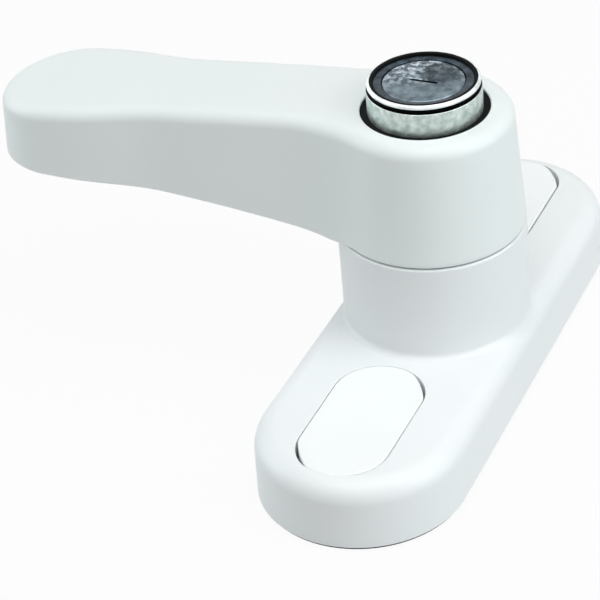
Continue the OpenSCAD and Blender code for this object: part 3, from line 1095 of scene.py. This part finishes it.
@dataclass
class Base:
    """Die-cast base with its boss, the seal under it, and the caps over the fixing screws."""

    stack: Stack
    length: float = 89.0
    width: float = 30.0
    edge_r: float = 3.0
    draft: float = 0.2
    rim_steps: int = 160
    boss_r: float = 13.6
    boss_edge_r: float = 0.4
    foot_r: float = 0.9
    foot_steps: int = 6
    root_depth: float = 0.6
    root_inset: float = 0.3
    root_wall: float = 0.5
    root_lift: float = 0.02
    bush_r: float = 8.22
    ring_r: float = 11.22
    ring_z: float = 22.1
    web_z: float = 7.3
    cavity_r: float = 11.0
    seat_r: float = 12.4
    seat_z: float = 1.7
    screw_y: float = 29.0
    screw_r: float = 2.5
    head_r: float = 4.7
    hole_steps: int = 48
    recess_floor_t: float = 2.4
    recess_edge_r: float = 0.1
    cap_l: float = 25.5
    cap_w: float = 13.3
    cap_depth: float = 3.2
    cap_proud: float = 0.1
    cap_edge_r: float = 0.25
    cap_wall: float = 1.3
    front_gap: float = 0.12
    rear_gap: float = 0.24
    relief: float = 0.36
    relief_deg: float = 34.0
    relief_span: float = 26.0
    wall: float = 2.6
    rib_t: float = 1.6
    pillar_wall: float = 1.0
    seat_wall: float = 1.2
    pocket_steps: int = 16
    seal_inset: float = 0.35
    seal_hole_r: float = 3.0
    spindle_way_r: float = 5.62

    def pocket(self, bm: BMesh, across: int, along: int) -> list[BMVert]:
        """Adds the outline of one hollow under the plate.

        It runs round the plate's end, along the rib, round the screw's pillar and back
        past the backing plate's seat.

        Args:
            bm: the plate.
            across: -1 or 1, the side of the rib.
            along: -1 or 1, the end of the plate.

        Returns:
            The outline's vertices.
        """
        rib, wall_r = self.rib_t / 2, self.width / 2 - self.wall
        pillar_r, seat_r = self.head_r + self.pillar_wall, self.seat_r + self.seat_wall
        pillar_turn = math.acos(rib / pillar_r)
        arcs = (
            ((self.length - self.width) / 2, wall_r, 0.0, math.acos(rib / wall_r)),
            (self.screw_y, pillar_r, pillar_turn, -pillar_turn),
            (0.0, seat_r, math.acos(rib / seat_r), math.acos(wall_r / seat_r)),
        )
        shares = [k / self.pocket_steps for k in range(self.pocket_steps + 1)]
        points = [
            Vector((radius * math.cos(a), middle + radius * math.sin(a)))
            for middle, radius, start, end in arcs
            for a in (start + (end - start) * share for share in shares)
        ]
        outline = bmesh.ops.create_circle(bm, segments=len(points), radius=1.0)["verts"]
        for vert, point in zip(outline, points):
            vert.co = Vector((across * point.x, along * point.y, self.stack.gasket_t)) * MM
        return outline

    def recess(self, bm: BMesh, side: int) -> tuple[list[BMVert], list[BMVert]]:
        """Sinks one cap's recess, with the screw's hole in its floor.

        Args:
            bm: the plate.
            side: -1 for the end near the camera, 1 for the far one.

        Returns:
            The recess's mouth and the hole's lower end.
        """
        middle, floor_z = side * self.screw_y, self.stack.base_t - self.cap_depth
        mouth = slot_loop(bm, self.cap_l, self.cap_w, self.stack.base_t, middle)
        floor = extrude_loop(bm, mouth, floor_z)
        head = loop_at(bm, self.head_r, floor_z, (0, middle), self.hole_steps)
        fill_between(bm, [floor, head])
        hole = extrude_loop(bm, head, floor_z - (self.head_r - self.screw_r))
        for vert in hole:
            vert.co.x *= self.screw_r / self.head_r
            vert.co.y = middle * MM + (vert.co.y - middle * MM) * self.screw_r / self.head_r
        return mouth, extrude_loop(bm, hole, self.stack.gasket_t)

    def plate(self) -> BMesh:
        """Builds the round-ended plate with its recesses, well and hollows.

        Returns:
            The new bmesh.
        """
        bottom, top = self.stack.gasket_t, self.stack.base_t
        bm = bmesh.new()
        foot = slot_loop(bm, self.length, self.width, bottom, segments=self.rim_steps)
        rim = extrude_loop(bm, foot, top)
        for vert in rim:
            vert.co.x *= 1 - 2 * self.draft / self.width
            vert.co.y *= 1 - 2 * self.draft / self.length
        lid = bmesh.ops.edgeloop_fill(bm, edges=ring_edges(rim))["faces"][0]
        round_edges(bm, list(lid.edges), self.edge_r, segments=10)
        flat = max((f for f in bm.faces if f.normal.z > LEVEL), key=lambda f: f.calc_area())
        outline = list(flat.verts)
        bmesh.ops.delete(bm, geom=[flat], context="FACES_ONLY")
        mouths, bores = zip(*(self.recess(bm, side) for side in ENDS))
        centre = loop_at(bm, self.bush_r, top)
        fill_between(bm, [outline, centre, *mouths])
        well = extrude_loop(bm, centre, self.web_z)
        well = step_loop(bm, well, self.cavity_r, self.web_z)
        well = extrude_loop(bm, well, self.seat_z)
        well = step_loop(bm, well, self.seat_r, self.seat_z)
        well = extrude_loop(bm, well, bottom)
        pockets = [self.pocket(bm, across, along) for across in (-1, 1) for along in ENDS]
        for pocket in pockets:
            extrude_shut(bm, pocket, top - self.cap_depth - self.recess_floor_t)
        fill_between(bm, [foot, well, *bores, *pockets])
        for mouth in mouths:
            round_edges(bm, ring_edges(mouth), self.recess_edge_r, segments=2)
        return bm

    def drop(self, x: float) -> float:
        """How far the plate's top has fallen away at a distance from its middle line."""
        past = max(0.0, min(self.edge_r, abs(x) - (self.width / 2 - self.draft - self.edge_r)))
        return self.edge_r - math.sqrt(self.edge_r**2 - past**2)

    def boss(self) -> BMesh:
        """Builds the boss, with a foot that follows the plate's rounded edge.

        Returns:
            The new bmesh.
        """
        top, z = self.stack.boss_top, self.stack.base_t
        root_z = z - self.root_depth
        turns = [math.pi / 2 * k / self.foot_steps for k in range(self.foot_steps + 1)]
        arc = [(self.foot_r * (1 - math.cos(a)), self.foot_r * (1 - math.sin(a))) for a in turns]
        bm = revolve(
            [
                (self.ring_r, top),
                (self.boss_r, top),
                *((self.boss_r + out, z + up) for out, up in arc),
                (self.boss_r + self.foot_r - self.root_inset, root_z),
                (self.bush_r + self.root_wall, root_z),
                (self.bush_r, z + self.root_lift),
                (self.bush_r, self.ring_z),
                (self.ring_r, self.ring_z),
            ]
        )
        for vert in bm.verts:
            if vert.co.xy.length > self.boss_r * MM - NEAR:
                share = min(1.0, max(0.0, (z + self.foot_r - vert.co.z / MM) / self.foot_r))
                vert.co.z -= self.drop(vert.co.x / MM) * share * MM
        round_edges(bm, rings_at(bm, [(self.boss_r, top)]), self.boss_edge_r, segments=4)
        return bm

    def relieve(self, verts: Iterable[BMVert], middle: float) -> None:
        """Draws a cap's outline in at two corners, where a blade lifts the cap.

        Args:
            verts: the outline's vertices.
            middle: Y of the cap's centre in millimetres.
        """
        reach = (self.cap_l - self.cap_w) / 2
        for vert in verts:
            y = vert.co.y / MM - middle
            if abs(y) > reach:
                way = Vector((vert.co.x / MM, y - math.copysign(reach, y)))
                corner = self.relief_deg if y > 0 else self.relief_deg - 180
                along = math.degrees(math.atan2(way.y, way.x)) - corner
                depth = self.relief * max(0.0, 1 - (along / self.relief_span) ** 2)
                vert.co.xy -= way.normalized() * depth * MM

    def cap(self, side: int) -> BMesh:
        """Builds one cap.

        Args:
            side: -1 for the end near the camera, 1 for the far one.

        Returns:
            The new bmesh.
        """
        bm = bmesh.new()
        middle = side * self.screw_y
        gap = 2 * (self.rear_gap if side > 0 else self.front_gap)
        length, width, wall = self.cap_l - gap, self.cap_w - gap, 2 * self.cap_wall
        low, top = self.stack.base_t - self.cap_depth, self.stack.base_t + self.cap_proud
        foot = slot_loop(bm, length, width, low, middle)
        self.relieve(foot, middle)
        rim = extrude_shut(bm, foot, top)
        inner = slot_loop(bm, length - wall, width - wall, low, middle)
        fill_between(bm, [foot, inner])
        extrude_shut(bm, inner, top - self.cap_wall)
        round_edges(bm, ring_edges(rim), self.cap_edge_r, segments=4)
        return bm

    def seal(self) -> BMesh:
        """Builds the seal under the plate, with its ways for the spindle and the screws.

        Returns:
            The new bmesh.
        """
        bm = bmesh.new()
        length, width = self.length - 2 * self.seal_inset, self.width - 2 * self.seal_inset
        low = [slot_loop(bm, length, width, 0.0, segments=self.rim_steps)]
        low.append(loop_at(bm, self.spindle_way_r, 0.0))
        for side in ENDS:
            low.append(loop_at(bm, self.seal_hole_r, 0.0, (0, side * self.screw_y), self.hole_steps))
        high = [extrude_loop(bm, loop, self.stack.gasket_t) for loop in low]
        for loops in (low, high):
            fill_between(bm, loops)
        return bm

    def build(self) -> None:
        """Builds and dresses the base, its seal and its caps."""
        bm = self.plate()
        join_shell(bm, self.boss())
        finish_piece(bm, "base", BASE_COAT, Body.BASE, "base_casting")
        finish_piece(self.seal(), "base_seal", GASKET_RUBBER, Body.BASE, "base_gasket")
        finish_piece(self.cap(-1), "cap_front", CAP_PLASTIC, Body.BASE, "screw_cap_front")
        finish_piece(self.cap(1), "cap_rear", CAP_PLASTIC, Body.BASE, "screw_cap_rear")


@dataclass
class Lock:
    """Push-in lock: barrel, seal, face ring, plug with its keyway, and the guide in the hub."""

    stack: Stack
    barrel_r: float = 8.1
    flange_r: float = 9.1
    flange_t: float = 2.2
    rim_h: float = 0.5
    rim_step: float = 0.15
    rim_edge_r: float = 0.35
    groove_h: float = 0.7
    groove_depth: float = 0.35
    groove_edge_r: float = 0.1
    face_r: float = 7.55
    face_t: float = 0.5
    face_sink: float = 0.35
    seal_w: float = 0.55
    seal_sink: float = 0.02
    lip_w: float = 0.45
    slope_w: float = 0.53
    fine_edge_r: float = 0.06
    plug_r: float = 5.85
    plug_z: float = 37.6
    plug_sink: float = 0.4
    plug_edge_r: float = 0.3
    plug_steps: int = 96
    tail_r: float = 1.55
    keyway_w: float = 4.0
    keyway_t: float = 0.5
    keyway_z: float = 39.8
    keyway_edge_r: float = 0.15
    guide_z: float = 38.3
    guide_top: float = 43.65
    gap: float = 0.05
    press_gap: float = 0.02

    def barrel(self) -> BMesh:
        """Builds the barrel with its flange, groove and rounded rim.

        Returns:
            The new bmesh.
        """
        top, flange_z = self.stack.barrel_top, self.stack.flange_z
        flange_top = flange_z + self.flange_t
        rim_r, rim_z = self.barrel_r - self.rim_step, top - self.rim_h
        groove_r, groove_z = self.barrel_r - self.groove_depth, rim_z - self.groove_h
        seat_r, seat_z = self.face_r + self.press_gap, top - self.face_t
        bore_r, bore_z = self.plug_r + self.gap, self.plug_z - self.gap
        bm = revolve(
            [
                (self.tail_r, flange_z),
                (self.flange_r, flange_z),
                (self.flange_r, flange_top),
                (self.barrel_r, flange_top),
                (self.barrel_r, groove_z),
                (groove_r, groove_z),
                (groove_r, rim_z),
                (rim_r, rim_z),
                (rim_r, top),
                (seat_r, top),
                (seat_r, seat_z),
                (bore_r, seat_z),
                (bore_r, bore_z),
                (self.tail_r, bore_z),
            ]
        )
        round_edges(bm, rings_at(bm, [(rim_r, top)]), self.rim_edge_r, segments=5)
        round_edges(bm, rings_at(bm, [(self.barrel_r, groove_z)]), self.groove_edge_r, segments=3)
        return bm

    def seal(self) -> BMesh:
        """Builds the seal, whose lip lines the rim.

        Returns:
            The new bmesh.
        """
        top, outer, inner = self.stack.barrel_top, self.face_r, self.face_r - self.seal_w
        low, high, lip = top - self.face_t, top - self.face_sink, top - self.seal_sink
        crest, toe = outer - self.lip_w, outer - self.slope_w
        bm = revolve([(inner, low), (outer, low), (outer, lip), (crest, lip), (toe, high), (inner, high)])
        round_edges(bm, rings_at(bm, [(outer, lip), (crest, lip)]), self.fine_edge_r, segments=2)
        return bm

    def face(self) -> BMesh:
        """Builds the dark ring round the plug.

        Returns:
            The new bmesh.
        """
        low, high = self.stack.barrel_top - self.face_t, self.stack.barrel_top - self.face_sink
        inner, outer = self.plug_r + self.gap, self.face_r - self.seal_w - self.press_gap
        bm = revolve([(inner, low), (outer, low), (outer, high), (inner, high)])
        round_edges(bm, rings_at(bm, [(inner, high)]), self.fine_edge_r, segments=2)
        return bm

    def plug(self) -> BMesh:
        """Builds the plug with its keyway.

        Returns:
            The new bmesh.
        """
        top = self.stack.barrel_top - self.plug_sink
        bm = bmesh.new()
        foot = loop_at(bm, self.plug_r, self.plug_z, segments=self.plug_steps)
        bmesh.ops.edgeloop_fill(bm, edges=ring_edges(foot))
        rim = extrude_loop(bm, foot, top)
        slot = loop_at(bm, 1.0, top, segments=4)
        for vert, (x, y) in zip(slot, ((1, 1), (-1, 1), (-1, -1), (1, -1))):
            vert.co.xy = (x * self.keyway_w / 2 * MM, y * self.keyway_t / 2 * MM)
        fill_between(bm, [rim, slot])
        extrude_shut(bm, slot, self.keyway_z)
        round_edges(bm, ring_edges(rim), self.plug_edge_r, segments=4)
        round_edges(bm, ring_edges(slot), self.keyway_edge_r, segments=3)
        return bm

    def guide(self) -> BMesh:
        """Builds the nylon ring that guides the barrel in the hub.

        Returns:
            The new bmesh.
        """
        inner, outer = self.barrel_r + self.gap, self.stack.bore_r - self.press_gap
        low, high = self.guide_z, self.guide_top
        return revolve([(inner, low), (outer, low), (outer, high), (inner, high)])

    def build(self) -> None:
        """Builds and dresses the lock."""
        finish_piece(self.barrel(), "barrel_shell", BARREL_CHROME, Body.BARREL, "lock_barrel")
        finish_piece(self.seal(), "barrel_seal", BLACK_NYLON, Body.BARREL, "face_seal")
        finish_piece(self.face(), "barrel_face", FACE_CHROME, Body.BARREL, "face_ring")
        finish_piece(self.plug(), "plug_face", PLUG_METAL, Body.PLUG, "lock_plug")
        finish_piece(self.guide(), "barrel_guide", BLACK_NYLON, Body.LEVER, "guide_ring")


@dataclass
class ReturnSpring:
    """Coil under the barrel, which flattens when the barrel is pushed in."""

    stack: Stack
    travel: float = 4.0
    coil_r: float = 4.7
    wire_r: float = 0.35
    wire_sides: int = 12
    turns: float = 3.5
    turn_steps: int = 40
    gap: float = 0.05
    spare: float = 0.005

    def coil(self) -> BMesh:
        """Winds the wire about the lock's axis.

        Returns:
            The new bmesh.
        """
        low = self.stack.hub_floor + self.wire_r + self.gap
        rise = self.stack.flange_z - self.wire_r - self.gap - low
        steps = round(self.turns * self.turn_steps)
        bm = bmesh.new()
        upright = Matrix.Rotation(math.pi / 2, 4, "X")
        place = Matrix.Translation(Vector((self.coil_r, 0, low)) * MM) @ upright
        start = bmesh.ops.create_circle(
            bm, segments=self.wire_sides, radius=self.wire_r * MM, matrix=place
        )["verts"]
        wound = bmesh.ops.spin(
            bm,
            geom=start + ring_edges(start),
            cent=(0, 0, 0),
            axis=(0, 0, 1),
            dvec=(0, 0, rise / steps * MM),
            angle=math.tau * self.turns,
            steps=steps,
        )["geom_last"]
        end = [part for part in wound if isinstance(part, BMVert)]
        for loop in (start, end):
            bmesh.ops.edgeloop_fill(bm, edges=ring_edges(loop))
        return bm

    def build(self) -> None:
        """Builds and dresses the coil, and gives it a mesh of its own."""
        piece = finish_piece(self.coil(), "return_coil", SPRING_STEEL, Body.LEVER, "return_spring")
        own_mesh(piece)


@dataclass
class InnerParts:
    """Pieces that keep their CAD meshes and only get a finish."""

    nodes: dict[str, Object]

    def dress(self) -> None:
        """Puts each finish in its CAD object's material slots."""
        for node, finish in INNER_FINISHES.items():
            for slot in self.nodes[node].material_slots:
                slot.material = finish.material()
            LOG.info("%s: %s", node, finish.name)


@dataclass(frozen=True)
class Softbox:
    """Square soft lamp that points at the handle; lengths in metres, power in watts."""

    name: str
    place: tuple[float, float, float]
    size: float
    power: float
    colour: str = "#ffffff"
    target: tuple[float, float, float] = (-0.02, 0.0, 0.02)

    def build(self) -> None:
        """Adds the lamp and turns it to the handle."""
        data = bpy.data.lights.new(self.name, "AREA")
        data.shape = "SQUARE"
        data.size = self.size
        data.energy = self.power
        data.color = linear(self.colour)[:3]
        lamp = add_object(self.name, data)
        lamp.location = self.place
        aim = Vector(self.target) - Vector(self.place)
        lamp.rotation_euler = aim.to_track_quat("-Z", "Y").to_euler()


SOFTBOXES = (
    Softbox("overhead softbox", (0.05, 0.05, 0.95), 0.9, 3.3),
    Softbox("front softbox", (0.05, -0.45, 0.85), 0.7, 3.1),
    Softbox("high right softbox", (0.6, 0.0, 0.8), 0.7, 2.8),
    Softbox("left softbox", (-0.95, -0.1, 0.35), 0.7, 4.0, "#ebf9f9"),
    Softbox("right softbox", (0.95, -0.05, 0.35), 0.7, 3.8, "#ebf9f9"),
)


@dataclass
class Studio:
    """Plain white floor, soft lamps, and the camera at the photograph's angle."""

    eye: tuple[float, float, float] = (109.527, -257.802, 205.405)
    azimuth: float = 27.101
    elevation: float = 34.476
    roll: float = -5.699
    focal_px: float = 2318.26
    frame_px: float = 600.0
    floor_half: float = 3000.0
    floor_gap: float = 0.2
    floor_tone: str = "#d8d8d8"
    floor_rough: float = 0.9
    floor_white: float = 0.94
    white: str = "#ffffff"
    fill_tone: str = "#eef5f6"
    fill: float = 0.02

    def camera(self) -> None:
        """Adds the camera that was fitted to the photograph."""
        a, e, roll = (math.radians(v) for v in (self.azimuth, self.elevation, self.roll))
        back = Vector((math.sin(a) * math.cos(e), -math.cos(a) * math.cos(e), math.sin(e)))
        right = Vector((math.cos(a), math.sin(a), 0))
        up = back.cross(right)
        x = right * math.cos(roll) + up * math.sin(roll)
        y = up * math.cos(roll) - right * math.sin(roll)
        data = bpy.data.cameras.new("camera")
        data.sensor_fit = "HORIZONTAL"
        data.sensor_width = 36.0
        data.lens = self.focal_px / self.frame_px * data.sensor_width
        data.clip_start = 0.01
        camera = add_object("camera", data)
        turn = Matrix((x, y, back)).transposed().to_4x4()
        camera.matrix_world = Matrix.Translation(Vector(self.eye) * MM) @ turn
        bpy.context.scene.camera = camera

    def floor(self) -> None:
        """Adds the white floor, which shows as white and keeps the object's shadow."""
        bm = bmesh.new()
        bmesh.ops.create_grid(bm, x_segments=1, y_segments=1, size=self.floor_half * MM)
        mesh = bpy.data.meshes.new("floor")
        bm.to_mesh(mesh)
        bm.free()
        floor = add_object("floor", mesh)
        floor.location.z = -self.floor_gap * MM
        paper = bpy.data.materials.new("white paper sweep")
        paper.use_nodes = True
        tree = paper.node_tree
        shader = tree.nodes["Principled BSDF"]
        shader.inputs["Base Color"].default_value = linear(self.floor_tone)
        shader.inputs["Roughness"].default_value = self.floor_rough
        shader.inputs["Specular IOR Level"].default_value = 0.0
        white = add_node(tree, "ShaderNodeEmission", {"Color": linear(self.white), "Strength": 1.0})
        most = {1: self.floor_white}
        share = add_node(tree, "ShaderNodeMath", most, {0: seen_rays(tree)}, operation="MULTIPLY")
        parts = {0: share.outputs["Value"], 1: shader.outputs["BSDF"], 2: white.outputs["Emission"]}
        blend = add_node(tree, "ShaderNodeMixShader", None, parts)
        tree.links.new(blend.outputs["Shader"], tree.nodes["Material Output"].inputs["Surface"])
        mesh.materials.append(paper)

    def world(self) -> None:
        """Adds a pale even surround that shows as white."""
        world = bpy.data.worlds.new("surround")
        bpy.context.scene.world = world
        world.use_nodes = True
        tree = world.node_tree
        fill = tree.nodes["Background"]
        fill.inputs["Color"].default_value = linear(self.fill_tone)
        fill.inputs["Strength"].default_value = self.fill
        white = add_node(tree, "ShaderNodeBackground", {"Color": linear(self.white), "Strength": 1.0})
        parts = {0: seen_rays(tree), 1: fill.outputs["Background"], 2: white.outputs["Background"]}
        blend = add_node(tree, "ShaderNodeMixShader", None, parts)
        tree.links.new(blend.outputs["Shader"], tree.nodes["World Output"].inputs["Surface"])

    def build(self) -> None:
        """Sets the stage, the light and the camera."""
        self.camera()
        self.floor()
        self.world()
        for softbox in SOFTBOXES:
            softbox.build()
        bpy.context.scene.view_settings.view_transform = "Standard"


def main() -> None:
    """Builds the handle over the frame."""
    logging.basicConfig(level=logging.INFO, format="%(name)s: %(message)s")
    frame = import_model()
    stack = Stack()
    Studio().build()
    Base(stack).build()
    Lever(stack).build()
    Lock(stack).build()
    ReturnSpring(stack).build()
    InnerParts(frame["nodes"]).dress()


if __name__ == "__main__":
    main()
